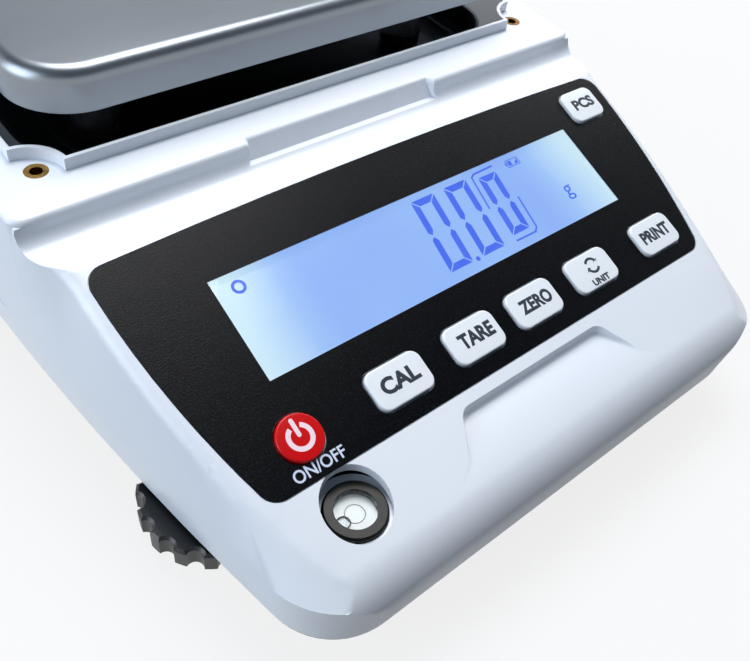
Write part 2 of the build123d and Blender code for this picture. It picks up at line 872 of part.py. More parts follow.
# Spirit level: cup, target disc and lens
with BuildPart() as level_cup:
    with BuildSketch(Plane.XY.offset(level_bottom)):
        with Locations((level_x, level_y)):
            Circle(level_radius)
    extrude(amount=level_height)
    chamfer(level_cup.faces().sort_by(Axis.Z)[-1].edges(), level_edge)
    with BuildSketch(Plane.XY.offset(level_top)):
        with Locations((level_x, level_y)):
            Circle(level_bore)
    extrude(amount=-(level_height - cup_floor), mode=Mode.SUBTRACT)
save(level_cup.part, "level_cup")
level_spot = [(level_x, level_y)]
save(cylinder_group(level_spot, level_bore, level_bottom + cup_floor, target_thickness), "level_target")
lens_bottom = level_top - lens_drop - lens_thickness
with BuildPart() as level_lens:
    with BuildSketch(Plane.XY.offset(lens_bottom)):
        with Locations(*level_spot):
            Circle(level_bore)
    extrude(amount=lens_thickness)
    with Locations((level_x, level_y, lens_bottom - 3 * level_bore + lens_thickness / 2)):
        Sphere(3 * level_bore, mode=Mode.SUBTRACT)
save(level_lens.part, "level_lens")

# Threaded inserts beside the notched corners of the plinth
with BuildPart() as shield_inserts:
    with BuildSketch(Plane.XY.offset(deck_height - insert_length)):
        with Locations((0, plinth_y)):
            with GridLocations(insert_pitch_x, insert_pitch_y, 2, 2):
                Circle(insert_radius)
                Circle(insert_thread_radius, mode=Mode.SUBTRACT)
    extrude(amount=insert_length)
save(shield_inserts.part, "shield_inserts")

# Cover plate on the plinth
with BuildPart() as cover_plate:
    extrude(plinth_outline(plinth_top - plate_thickness, plate_border + plate_gap), amount=plate_thickness)
    with BuildSketch(Plane.XY.offset(plinth_top)):
        with Locations((0, plinth_y)):
            Circle(plate_hole)
    extrude(amount=-plate_thickness, mode=Mode.SUBTRACT)
save(cover_plate.part, "cover_plate")

# Pan: a drawn tray turned upside down, with a shallow stamped field in its top
pan_top = pan_bottom + pan_height
with BuildPart() as pan:
    with BuildSketch(Plane.XY.offset(pan_bottom)):
        with Locations((0, plinth_y)):
            RectangleRounded(pan_size, pan_size, pan_corner)
    extrude(amount=pan_height)
    fillet(pan.faces().sort_by(Axis.Z)[-1].edges(), pan_edge_round)
    offset(amount=-pan_sheet, openings=pan.faces().sort_by(Axis.Z)[0])
    with BuildSketch(Plane.XY.offset(pan_top - pan_field_sink)):
        with Locations((0, plinth_y)):
            RectangleRounded(pan_field, pan_field, pan_field_corner)
    extrude(amount=pan_field_sink + 1, mode=Mode.SUBTRACT)
    with BuildSketch(Plane.XY.offset(pan_top - pan_sheet - pan_field_sink)):
        with Locations((0, plinth_y)):
            RectangleRounded(pan_field + 2 * pan_sheet, pan_field + 2 * pan_sheet,
                             pan_field_corner + pan_sheet)
    extrude(amount=pan_field_sink)
save(pan.part, "pan")

# Pan support: a cast spider with an arm and a rubber pad for each corner of the pan
support_seat = pan_top - pan_sheet - pan_field_sink - pad_seat_gap
with BuildPart() as pan_support:
    with BuildSketch(Plane.XY.offset(support_bottom)):
        with Locations((0, plinth_y)):
            Circle(support_hub_radius)
    extrude(amount=support_top - support_bottom)
    with BuildSketch(Plane.XY.offset(support_top - support_arm_height)):
        with Locations((0, plinth_y)):
            with Locations(Rotation(0, 0, 45), Rotation(0, 0, 135)):
                SlotCenterToCenter(2 * support_reach * 2 ** 0.5, support_arm_width)
    extrude(amount=support_arm_height)
    fillet(pan_support.edges().filter_by(Axis.Z), support_corner)
    with BuildSketch(Plane.XY.offset(support_top)):
        with Locations((0, plinth_y)):
            with GridLocations(2 * support_reach, 2 * support_reach, 2, 2):
                Circle(pad_stem_radius)
    extrude(amount=-support_arm_height / 2, mode=Mode.SUBTRACT)
    with BuildSketch(Plane.XY.offset(support_top)):
        with Locations((0, plinth_y)):
            Circle(post_bore)
    extrude(amount=support_bottom - support_top, mode=Mode.SUBTRACT)
save(pan_support.part, "pan_support")

with BuildPart() as support_pads:
    with BuildSketch(Plane.XY.offset(support_top)):
        with Locations((0, plinth_y)):
            with GridLocations(2 * support_reach, 2 * support_reach, 2, 2):
                Circle(pad_radius)
    extrude(amount=support_seat - support_top)
    chamfer(support_pads.faces().group_by(Axis.Z)[-1].edges(), pad_edge)
    with BuildSketch(Plane.XY.offset(support_top)):
        with Locations((0, plinth_y)):
            with GridLocations(2 * support_reach, 2 * support_reach, 2, 2):
                Circle(pad_stem_radius)
    extrude(amount=-support_arm_height / 2)
save(support_pads.part, "support_pads")

# Post between the bracket and the pan support, and the bolt that holds them together
with BuildPart() as pan_post:
    with BuildSketch(Plane.XY.offset(bracket_top)):
        with Locations((0, plinth_y)):
            Circle(post_radius)
            Circle(post_bore, mode=Mode.SUBTRACT)
    extrude(amount=support_bottom - bracket_top)
save(pan_post.part, "pan_post")

with BuildPart() as post_bolt:
    with BuildSketch(Plane.XY.offset(support_top)):
        with Locations((0, plinth_y)):
            RegularPolygon(nut_radius, 6)
    extrude(amount=bolt_head_height)
    with BuildSketch(Plane.XY.offset(support_top)):
        with Locations((0, plinth_y)):
            Circle(post_bore - fit_gap)
    extrude(amount=bracket_bottom + bolt_reach - support_top)
save(post_bolt.part, "post_bolt")

# Carrier bracket from the free end of the load cell to below the post
free_end_y = plinth_y - cell_length / 2 + cell_end_inset
fixed_end_y = plinth_y + cell_length / 2 - cell_end_inset
free_screws = [(0, free_end_y), (0, free_end_y + cell_end_pitch)]
fixed_screws = [(0, fixed_end_y), (0, fixed_end_y - cell_end_pitch)]
with BuildPart() as carrier_bracket:
    back = plinth_y + bracket_overhang
    front = plinth_y - cell_length / 2
    with BuildSketch(Plane.XY.offset(bracket_bottom)):
        with Locations((0, (front + back) / 2)):
            RectangleRounded(bracket_width, back - front, bracket_corner)
        with Locations((0, plinth_y)):
            Circle(post_bore, mode=Mode.SUBTRACT)
        with Locations(*free_screws):
            Circle(cell_screw_hole, mode=Mode.SUBTRACT)
    extrude(amount=bracket_thickness)
    with BuildSketch(Plane.XY.offset(cell_top)):
        with Locations((0, front + spacer_length / 2)):
            Rectangle(cell_width, spacer_length)
        with Locations(*free_screws):
            Circle(cell_screw_hole, mode=Mode.SUBTRACT)
    extrude(amount=spacer_thickness)
save(carrier_bracket.part, "carrier_bracket")

with BuildPart() as carrier_screws:
    with BuildSketch(Plane.XY.offset(bracket_top)):
        with Locations(*free_screws):
            Circle(cell_screw_head_radius)
    extrude(amount=cell_screw_head_height)
    with BuildSketch(Plane.XY.offset(bracket_top)):
        with Locations(*free_screws):
            Circle(cell_screw_radius)
    extrude(amount=-(bracket_thickness + spacer_thickness + cell_screw_bite))
save(carrier_screws.part, "carrier_screws")

# Load cell: a beam whose middle is bored out by two eyes joined by a slot
with BuildPart() as load_cell:
    with BuildSketch(Plane.YZ.offset(-cell_width / 2)):
        with Locations((plinth_y, cell_bottom + cell_height / 2)):
            Rectangle(cell_length, cell_height)
            with GridLocations(cell_eye_pitch, 0, 2, 1):
                Circle(cell_eye_radius, mode=Mode.SUBTRACT)
            Rectangle(cell_eye_pitch, cell_slot, mode=Mode.SUBTRACT)
    extrude(amount=cell_width)
    with BuildSketch(Plane.XY.offset(cell_bottom)):
        with Locations(*free_screws, *fixed_screws):
            Circle(cell_screw_hole)
    extrude(amount=cell_height, mode=Mode.SUBTRACT)
save(load_cell.part, "load_cell")

with BuildPart() as cell_spacer:
    with BuildSketch(Plane.XY.offset(chassis_top)):
        with Locations((0, plinth_y + cell_length / 2 - spacer_length / 2)):
            Rectangle(cell_width, spacer_length)
        with Locations(*fixed_screws):
            Circle(cell_screw_hole, mode=Mode.SUBTRACT)
    extrude(amount=spacer_thickness)
save(cell_spacer.part, "cell_spacer")

# Chassis plate with a raised rim, on which the load cell stands
with BuildPart() as chassis:
    with BuildSketch(Plane.XY.offset(chassis_bottom)):
        with Locations((0, plinth_y)):
            RectangleRounded(chassis_width, chassis_length, chassis_corner)
    extrude(amount=chassis_thickness + chassis_rim_height)
    with BuildSketch(Plane.XY.offset(chassis_top)):
        with Locations((0, plinth_y)):
            RectangleRounded(chassis_width - 2 * chassis_rim, chassis_length - 2 * chassis_rim,
                             chassis_inner_corner)
    extrude(amount=chassis_rim_height + 1, mode=Mode.SUBTRACT)
    with BuildSketch(Plane.XY.offset(chassis_bottom)):
        with Locations((0, plinth_y)):
            with GridLocations(chassis_bolt_x, chassis_bolt_y, 2, 2):
                Circle(chassis_bolt_radius + fit_gap)
        with Locations(*fixed_screws, (0, free_end_y)):
            Circle(cell_screw_hole)
        with Locations((0, plinth_y - cell_end_inset)):
            RectangleRounded(chassis_window, chassis_window, chassis_window_corner)
    extrude(amount=chassis_thickness, mode=Mode.SUBTRACT)
save(chassis.part, "chassis")

with BuildPart() as chassis_bolts:
    with BuildSketch(Plane.XY.offset(chassis_top)):
        with Locations((0, plinth_y)):
            with GridLocations(chassis_bolt_x, chassis_bolt_y, 2, 2):
                Circle(chassis_bolt_head_radius)
    extrude(amount=chassis_bolt_head_height)
    with BuildSketch(Plane.XY.offset(chassis_top)):
        with Locations((0, plinth_y)):
            with GridLocations(chassis_bolt_x, chassis_bolt_y, 2, 2):
                Circle(chassis_bolt_radius)
    extrude(amount=-(chassis_thickness + chassis_bolt_reach))
save(chassis_bolts.part, "chassis_bolts")

with BuildPart() as cell_screws:
    with BuildSketch(Plane.XY.offset(chassis_bottom)):
        with Locations(*fixed_screws):
            Circle(cell_screw_radius)
    extrude(amount=chassis_thickness + spacer_thickness + cell_screw_bite)
    with BuildSketch(Plane.XY.offset(chassis_bottom)):
        with Locations(*fixed_screws):
            Circle(low_head_radius)
    extrude(amount=-low_head_height)
save(cell_screws.part, "cell_screws")

with BuildPart() as overload_stop:
    with BuildSketch(Plane.XY.offset(chassis_bottom)):
        with Locations((0, free_end_y)):
            Circle(stop_radius - thread_gap)
    extrude(amount=cell_bottom - stop_gap - chassis_bottom)
    with BuildSketch(Plane.XY.offset(chassis_top)):
        with Locations((0, free_end_y)):
            RegularPolygon(nut_radius, 6)
    extrude(amount=nut_height)
save(overload_stop.part, "overload_stop")

# Bottom case: a shallow tray with a lip inside the top case and bosses for what it carries
foot_spots = list(foot_places.values())
with BuildPart() as bottom_case:
    extrude(belt_plan(base_bottom, belt_tuck + base_rim_inset), amount=base_rim_height)
    lip_inset = belt_tuck + wall + lip_gap
    extrude(belt_plan(base_bottom + base_rim_height / 2, lip_inset),
            amount=base_thickness + lip_height - base_rim_height / 2)
    extrude(belt_plan(base_top, lip_inset + lip_thickness), amount=2 * lip_height, mode=Mode.SUBTRACT)
    with BuildSketch(Plane.XY.offset(base_bottom + base_rim_height)):
        with Locations(*foot_spots):
            Circle(foot_boss_radius)
    extrude(amount=bush_length)
    with BuildSketch(Plane.XY.offset(base_top - 0.5)):
        with Locations((0, plinth_y)):
            with GridLocations(chassis_bolt_x, chassis_bolt_y, 2, 2):
                Circle(chassis_post_radius)
    extrude(amount=chassis_bottom - base_top + 0.5)
    with BuildSketch(Plane.XY.offset(base_top - 0.5)):
        with Locations((main_board_x, main_board_y)):
            with GridLocations(main_hole_pitch_x, main_hole_pitch_y, 2, 2):
                Circle(main_boss_radius)
    extrude(amount=main_board_height - base_top + 0.5)
    with BuildSketch(Plane.XY.offset(base_top - 0.5)):
        with Locations((0, battery_y)):
            Rectangle(battery_length + 2 * battery_gap + 2 * lip_thickness,
                      battery_width + 2 * battery_gap + 2 * lip_thickness)
    extrude(amount=battery_height)
    with BuildSketch(Plane.XY.offset(base_bottom)):
        with Locations(*foot_spots):
            Circle(bush_radius)
        with Locations(*case_screw_places):
            Circle(screw_hole_radius)
        with Locations((0, plinth_y)):
            with GridLocations(chassis_bolt_x, chassis_bolt_y, 2, 2):
                Circle(chassis_bolt_radius + fit_gap)
        with Locations((0, battery_y)):
            Rectangle(battery_length + 2 * battery_gap, battery_width + 2 * battery_gap)
    extrude(amount=2 * bush_length, mode=Mode.SUBTRACT)
    with BuildSketch(Plane.XY.offset(base_bottom)):
        with Locations(*case_screw_places):
            Circle(screw_head_radius + fit_gap)
        with Locations((0, battery_y)):
            RectangleRounded(battery_cover_length, battery_cover_width, battery_cover_corner)
    extrude(amount=base_thickness / 2, mode=Mode.SUBTRACT)
    with BuildSketch(Plane.XY.offset(main_board_height)):
        with Locations((main_board_x, main_board_y)):
            with GridLocations(main_hole_pitch_x, main_hole_pitch_y, 2, 2):
                Circle(board_screw_radius)
    extrude(amount=-main_boss_bore_depth, mode=Mode.SUBTRACT)
save(bottom_case.part, "bottom_case")

# Battery pack of two wrapped cells, and the cover that closes its compartment from below
cover_bottom = base_bottom + battery_cover_gap
cover_thickness = base_thickness / 2 - 2 * battery_cover_gap
battery_bottom = base_bottom + base_thickness / 2 + 2 * battery_cover_gap
with BuildPart() as battery_pack:
    with BuildSketch(Plane.YZ.offset(-battery_length / 2)):
        with Locations((battery_y, battery_bottom + battery_height / 2)):
            with GridLocations(battery_width / 2, 0, 2, 1):
                Circle(battery_height / 2)
            Rectangle(battery_width / 2, battery_height)
    extrude(amount=battery_length)
save(battery_pack.part, "battery_pack")

with BuildPart() as battery_cover:
    with BuildSketch(Plane.XY.offset(cover_bottom)):
        with Locations((0, battery_y)):
            RectangleRounded(battery_cover_length - 2 * fit_gap, battery_cover_width - 2 * fit_gap,
                             battery_cover_corner - fit_gap)
            with GridLocations(0, grip_pitch, 1, 2):
                SlotOverall(grip_length, grip_width, mode=Mode.SUBTRACT)
    extrude(amount=cover_thickness)
save(battery_cover.part, "battery_cover")

# Main board on its standoffs, with a screened converter and two connectors
main_board_top = main_board_height + board_thickness
ribbon_connector_y = main_board_y - main_board_length / 2 + ribbon_connector_margin
cable_connector_x = main_board_x - main_board_width / 2 + cable_connector_margin
cable_y = main_board_y + main_board_length / 2 - cable_rear_margin
with BuildPart() as main_board:
    with BuildSketch(Plane.XY.offset(main_board_height)):
        with Locations((main_board_x, main_board_y)):
            Rectangle(main_board_width, main_board_length)
            with GridLocations(main_hole_pitch_x, main_hole_pitch_y, 2, 2):
                Circle(board_screw_radius + fit_gap, mode=Mode.SUBTRACT)
    extrude(amount=board_thickness)
    with BuildSketch(Plane.XY.offset(main_board_top)):
        with Locations((main_board_x, ribbon_connector_y)):
            Rectangle(ribbon_width + 2, ribbon_connector_depth)
        with Locations((cable_connector_x, cable_y)):
            Rectangle(cable_connector_width, cable_connector_length)
    extrude(amount=connector_height)
    with BuildSketch(Plane.XY.offset(main_board_top)):
        with Locations((main_board_x, main_board_y + shield_can_offset)):
            Rectangle(shield_can_width, shield_can_length)
        with Locations((main_board_x, main_board_y - chip_offset)):
            Rectangle(chip_size, chip_size)
    extrude(amount=connector_height / 2)
save(main_board.part, "main_board")

with BuildPart() as main_board_screws:
    with BuildSketch(Plane.XY.offset(main_board_top)):
        with Locations((main_board_x, main_board_y)):
            with GridLocations(main_hole_pitch_x, main_hole_pitch_y, 2, 2):
                Circle(2 * board_screw_radius)
    extrude(amount=board_screw_radius)
    with BuildSketch(Plane.XY.offset(main_board_top)):
        with Locations((main_board_x, main_board_y)):
            with GridLocations(main_hole_pitch_x, main_hole_pitch_y, 2, 2):
                Circle(board_screw_radius - thread_gap)
    extrude(amount=-(board_thickness + main_screw_bite))
save(main_board_screws.part, "main_board_screws")

# Ribbon from the display board down to the main board
ribbon_start_y = panel_y + (display_board_back_v - 5) * cos(tilt) - (board_top - board_thickness) * sin(tilt)
ribbon_start_z = panel_z + (display_board_back_v - 5) * sin(tilt) + (board_top - board_thickness) * cos(tilt)
ribbon_level = main_board_top + connector_height / 2
with BuildPart() as display_ribbon:
    with BuildLine(Plane.YZ.offset(main_board_x)) as ribbon_path:
        FilletPolyline((ribbon_start_y, ribbon_start_z - 1), (ribbon_start_y, ribbon_level),
                       (ribbon_connector_y - 2.5, ribbon_level), radius=ribbon_bend)
    with BuildSketch(Plane(ribbon_path.line @ 0, x_dir=(1, 0, 0), z_dir=ribbon_path.line % 0)):
        Rectangle(ribbon_width, ribbon_thickness)
    sweep()
save(display_ribbon.part, "display_ribbon")

# Cable from the load cell to the main board
cable_height = cell_bottom + cell_height / 2
with BuildPart() as cell_cable:
    with BuildLine() as cable_path:
        FilletPolyline((cell_width / 2, cable_y, cable_height), (cable_connector_x, cable_y, cable_height),
                       (cable_connector_x, cable_y, main_board_top + connector_height),
                       radius=4 * cable_radius)
    with BuildSketch(Plane(cable_path.line @ 0, z_dir=cable_path.line % 0)):
        Circle(cable_radius)
    sweep()
save(cell_cable.part, "cell_cable")

# Sockets in the rear wall
wall_inside_y = rear_y - deck_step - wall
with BuildPart() as power_socket:
    with BuildSketch(Plane.XZ.offset(-wall_inside_y)):
        with Locations((power_socket_x, socket_height)):
            Rectangle(power_body_size, power_body_size)
    extrude(amount=power_body_depth)
    with BuildSketch(Plane.XZ.offset(-wall_inside_y)):
        with Locations((power_socket_x, socket_height)):
            Circle(power_socket_radius)
    extrude(amount=-wall)
    with BuildSketch(Plane.XZ.offset(-rear_y)):
        with Locations((power_socket_x, socket_height)):
            Circle(power_socket_bore)
            Circle(power_pin_radius, mode=Mode.SUBTRACT)
    extrude(amount=power_socket_depth, mode=Mode.SUBTRACT)
save(power_socket.part, "power_socket")

with BuildPart() as serial_socket:
    with BuildSketch(Plane.XZ.offset(-wall_inside_y)):
        with Locations((serial_socket_x, socket_height)):
            RectangleRounded(serial_flange_width, serial_flange_height, serial_shell_corner)
            with GridLocations(serial_post_pitch, 0, 2, 1):
                Circle(serial_post_tail_radius + thread_gap, mode=Mode.SUBTRACT)
    extrude(amount=socket_flange_thickness)
    with BuildSketch(Plane.XZ.offset(-wall_inside_y)):
        with Locations((serial_socket_x, socket_height)):
            RectangleRounded(serial_shell_width, serial_shell_height, serial_shell_corner)
    extrude(amount=-wall)
    with BuildSketch(Plane.XZ.offset(socket_flange_thickness - wall_inside_y)):
        with Locations((serial_socket_x, socket_height)):
            RectangleRounded(serial_shell_width + 2 * serial_body_margin,
                             serial_shell_height + 2 * serial_body_margin, serial_shell_corner)
    extrude(amount=serial_body_depth)
    with BuildSketch(Plane.XZ.offset(-rear_y)):
        for row, pins in ((serial_row_offset, 5), (-serial_row_offset, 4)):
            with Locations((serial_socket_x, socket_height + row)):
                with GridLocations(serial_pin_pitch, 0, pins, 1):
                    Circle(serial_pin_radius)
    extrude(amount=serial_pin_depth, mode=Mode.SUBTRACT)
save(serial_socket.part, "serial_socket")

with BuildPart() as socket_posts:
    with BuildSketch(Plane.XZ.offset(-wall_inside_y)):
        with Locations((serial_socket_x, socket_height)):
            with GridLocations(serial_post_pitch, 0, 2, 1):
                RegularPolygon(serial_post_radius, 6)
                Circle(serial_post_bore, mode=Mode.SUBTRACT)
    extrude(amount=-wall)
    with BuildSketch(Plane.XZ.offset(-wall_inside_y)):
        with Locations((serial_socket_x, socket_height)):
            with GridLocations(serial_post_pitch, 0, 2, 1):
                Circle(serial_post_tail_radius)
                Circle(serial_post_bore, mode=Mode.SUBTRACT)
    extrude(amount=serial_post_tail)
save(socket_posts.part, "socket_posts")

# Case screws, driven up from below
screw_seat = base_bottom + base_thickness / 2
with BuildPart() as case_screws:
    with BuildSketch(Plane.XY.offset(screw_seat)):
        with Locations(*case_screw_places):
            Circle(screw_head_radius)
    extrude(amount=-screw_head_height)
    with BuildSketch(Plane.XY.offset(screw_seat)):
        with Locations(*case_screw_places):
            Circle(screw_radius)
    extrude(amount=screw_length)
save(case_screws.part, "case_screws")

# Levelling feet: bush in the case, threaded stud, scalloped knob and swivelling pad
bush_bottom = base_bottom + base_rim_height / 2
save(cylinder_group(foot_spots, bush_radius, bush_bottom, bush_length, stud_radius + bush_gap), "foot_bushes")
knob_bottom = pad_height + knob_gap
neck_bottom = knob_bottom - stud_neck_length
for foot_name, (spot_x, spot_y) in foot_places.items():
    with BuildPart() as foot_pad:
        with BuildSketch():
            with Locations((spot_x, spot_y)):
                Circle(pad_foot_radius)
        extrude(amount=pad_height)
        chamfer(foot_pad.faces().sort_by(Axis.Z)[-1].edges(), pad_foot_edge)
        with BuildSketch(Plane.XY.offset(pad_height)):
            with Locations((spot_x, spot_y)):
                Circle(stud_neck_radius + stud_neck_gap)
        extrude(amount=neck_bottom - 0.1 - pad_height, mode=Mode.SUBTRACT)
    save(foot_pad.part, f"{foot_name}_foot_pad")

    with BuildPart() as foot_knob:
        with BuildSketch(Plane.XY.offset(knob_bottom)):
            with Locations((spot_x, spot_y)):
                Circle(knob_radius)
                with PolarLocations(knob_radius + knob_scallop / 4, knob_lobes):
                    Circle(knob_scallop, mode=Mode.SUBTRACT)
        extrude(amount=knob_thickness)
        chamfer(foot_knob.faces().sort_by(Axis.Z)[-1].edges(), knob_edge)
        with BuildSketch(Plane.XY.offset(knob_bottom)):
            with Locations((spot_x, spot_y)):
                Circle(stud_radius)
        extrude(amount=knob_thickness, mode=Mode.SUBTRACT)
    save(foot_knob.part, f"{foot_name}_foot_knob")

    save(cylinder_group([(spot_x, spot_y)], stud_radius, knob_bottom, stud_length)
         + cylinder_group([(spot_x, spot_y)], stud_neck_radius, neck_bottom, stud_neck_length),
         f"{foot_name}_foot_stud")
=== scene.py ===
import json
from math import cos, pi, radians, sin, tan

import bpy
from mathutils import Matrix, Vector


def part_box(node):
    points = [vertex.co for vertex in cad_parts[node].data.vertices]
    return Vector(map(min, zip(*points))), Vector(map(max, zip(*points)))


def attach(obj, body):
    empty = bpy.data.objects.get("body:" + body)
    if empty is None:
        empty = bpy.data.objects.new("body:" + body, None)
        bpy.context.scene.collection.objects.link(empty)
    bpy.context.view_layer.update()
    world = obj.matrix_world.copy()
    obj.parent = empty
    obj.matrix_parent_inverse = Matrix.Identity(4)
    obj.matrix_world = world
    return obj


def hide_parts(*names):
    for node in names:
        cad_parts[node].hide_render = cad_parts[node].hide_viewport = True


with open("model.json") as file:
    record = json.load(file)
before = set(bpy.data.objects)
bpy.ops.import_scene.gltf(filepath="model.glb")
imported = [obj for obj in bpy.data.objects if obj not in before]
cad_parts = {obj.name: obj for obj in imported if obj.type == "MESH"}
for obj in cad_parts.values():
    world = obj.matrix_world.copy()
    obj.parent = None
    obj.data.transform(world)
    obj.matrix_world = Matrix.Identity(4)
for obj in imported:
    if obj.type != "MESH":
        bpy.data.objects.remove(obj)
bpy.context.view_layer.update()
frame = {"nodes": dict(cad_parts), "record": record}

MM = 0.001
NODES = frame["nodes"]
SLOT_OF = {part["node"]: part["material_slot"] for part in frame["record"]["subparts"]}
BODIES = frame["record"]["behaviour"]["bodies"]
BODY_OF = {node: body for body, members in BODIES.items() for node in members}

# The console is a tilted plane; places on it are given as u to the right and v up the slope
PANEL_TILT = radians(19.7)
PANEL_ORIGIN = Vector((0, -0.125, 0.0425))
PANEL = Matrix.Translation(PANEL_ORIGIN) @ Matrix.Rotation(PANEL_TILT, 4, "X") @ Matrix.Scale(MM, 4)

# Camera, at the photograph's place
EYE = Vector((-0.13288, -0.19739, 0.19830))
EYE_TURN = (radians(42.539), radians(-6.4026), radians(-39.0457))
LENS = 38.65
FLOOR_LIFT = 0.83
BACKDROP_TOP = 0.30
BACKDROP_END = 0.55
AMBIENT = 0.17

OVERLAY_FACE = -0.1
KEY_FACE = 0.9
LCD_FACE = -2.7
PRINT = 0.03
KEYS = {
    "cal": ("CAL", -36.6, 10.5, 11.6, 4.5),
    "tare": ("TARE", -10.2, 10.6, 11.8, 4.3),
    "zero": ("ZERO", 12.6, 10.5, 11.9, 4.2),
    "unit": ("UNIT", 37.3, 6.5, 7.0, 2.1),
    "print": ("PRINT", 66.9, 10.4, 12.8, 4.1),
    "pcs": ("PCS", 78.4, 59.4, 9.2, 4.0),
}
LEGEND_WEIGHT = 0.045
POWER = (-66.4, 10.4)
POWER_RING = (2.3, 3.5)
POWER_RING_GAP = 27
POWER_STROKE_HALF = 0.55
POWER_STROKE_ENDS = (0.6, 4.3)
POWER_WORDS = ("ON/OFF", -65.7, 2.9, 14.2, 3.1)
POWER_WORDS_WEIGHT = 0.015
ARROWS = (37.6, 11.4)
ARROW_BAND = (1.75, 2.55)
ARROW_SWEEP = (22, 148)
ARROW_TIP = 4
ARROW_BASE = 26
ARROW_HEAD = (1.05, 2.15, 3.25)

# Signs of the display, at the places where the camera sees them on the console
FIGURES = ((0.84, 40.2, 8.6, 23.4), (13.2, 40.2, 8.8, 23.4), (25.4, 40.2, 7.2, 20.4))
FIGURE_STROKE = 2.1
FIGURE_GAP = 0.28
FIGURE_SLANT = 6.3
POINT = (5.7, 28.8)
POINT_RADIUS = 0.75
BRACKETS = (((30.3, 52.2), (22.6, 52.0), (21.2, 51.2), (19.7, 40.3)),
            ((31.3, 40.1), (30.0, 29.4), (28.6, 28.2), (20.7, 28.3)))
BRACKET_WIDTH = 0.55
STABLE_SIGN = (-58.8, 49.7)
STABLE_RADII = (1.95, 1.15)
GRAM_SIGN = (49.3, 34.3)
GRAM_SIZE = (3.2, 5.0)
BATTERY_SIGN = (37.9, 50.6)
BATTERY_HALF = (2.6, 1.3)
BATTERY_LINE = 0.25

# Spirit level, in millimetres from the middle of its target
TARGET_RING = (2.55, 2.36)
BUBBLE_SHIFT = (-3.6, -0.4, -0.3)
# Size of the dark ring painted as the shade that refraction puts round the bubble's edge
BUBBLE_SHADE_RING_RADIUS = 1.55
BUBBLE_SHADE_RING_THICKNESS = 0.17
BUBBLE_RADIUS = 1.52
BUBBLE_FLATNESS = 0.16


def srgb(red, green, blue):
    """Colour written as 0 to 255 on screen, as the shader's linear values."""
    values = [c / 255 for c in (red, green, blue)]
    return tuple(c / 12.92 if c <= 0.04045 else ((c + 0.055) / 1.055) ** 2.4 for c in values) + (1.0,)


# Shader groups shared by several finishes

def new_group(name, inputs, outputs):
    """Empty shader group with float inputs and outputs."""
    group = bpy.data.node_groups.new(name, "ShaderNodeTree")
    for label, value in inputs:
        socket = group.interface.new_socket(label, in_out="INPUT", socket_type="NodeSocketFloat")
        socket.default_value = value
    for label in outputs:
        group.interface.new_socket(label, in_out="OUTPUT", socket_type="NodeSocketFloat")
    entry = group.nodes.new("NodeGroupInput")
    leave = group.nodes.new("NodeGroupOutput")
    return group, entry, leave


def set_inputs(node, **values):
    """Set named inputs of a node, with underscores for spaces."""
    for label, value in values.items():
        node.inputs[label.replace("_", " ")].default_value = value


def make_moulded_group():
    """Spark-eroded texture of moulded plastic: fine pits, and slow unevenness of the wall."""
    group, entry, leave = new_group("moulded_grain", [("Scale", 1500.0), ("Slow Scale", 14.0)],
                                    ["Height", "Slow"])
    coords = group.nodes.new("ShaderNodeTexCoord")
    fine = group.nodes.new("ShaderNodeTexNoise")
    set_inputs(fine, Detail=3.0, Roughness=0.65)
    slow = group.nodes.new("ShaderNodeTexNoise")
    set_inputs(slow, Detail=2.0, Roughness=0.5)
    links = group.links
    links.new(coords.outputs["Object"], fine.inputs["Vector"])
    links.new(coords.outputs["Object"], slow.inputs["Vector"])
    links.new(entry.outputs["Scale"], fine.inputs["Scale"])
    links.new(entry.outputs["Slow Scale"], slow.inputs["Scale"])
    links.new(fine.outputs["Fac"], leave.inputs["Height"])
    links.new(slow.outputs["Fac"], leave.inputs["Slow"])
    return group


def make_brushed_group():
    """Long fine scratches along X, broken up by a slower cloud."""
    group, entry, leave = new_group("brushed_metal", [("Fine Scale", 900.0), ("Stretch", 0.02)],
                                    ["Streak", "Cloud"])
    coords = group.nodes.new("ShaderNodeTexCoord")
    squeeze = group.nodes.new("ShaderNodeCombineXYZ")
    squeeze.inputs["Y"].default_value = 1.0
    squeeze.inputs["Z"].default_value = 1.0
    scale = group.nodes.new("ShaderNodeVectorMath")
    scale.operation = "MULTIPLY"
    streak = group.nodes.new("ShaderNodeTexNoise")
    set_inputs(streak, Detail=4.0, Roughness=0.7)
    cloud = group.nodes.new("ShaderNodeTexNoise")
    set_inputs(cloud, Scale=22.0, Detail=3.0, Roughness=0.55)
    links = group.links
    links.new(entry.outputs["Stretch"], squeeze.inputs["X"])
    links.new(coords.outputs["Object"], scale.inputs[0])
    links.new(squeeze.outputs["Vector"], scale.inputs[1])
    links.new(scale.outputs["Vector"], streak.inputs["Vector"])
    links.new(entry.outputs["Fine Scale"], streak.inputs["Scale"])
    links.new(coords.outputs["Object"], cloud.inputs["Vector"])
    links.new(streak.outputs["Fac"], leave.inputs["Streak"])
    links.new(cloud.outputs["Fac"], leave.inputs["Cloud"])
    return group


MOULDED = make_moulded_group()
BRUSHED = make_brushed_group()


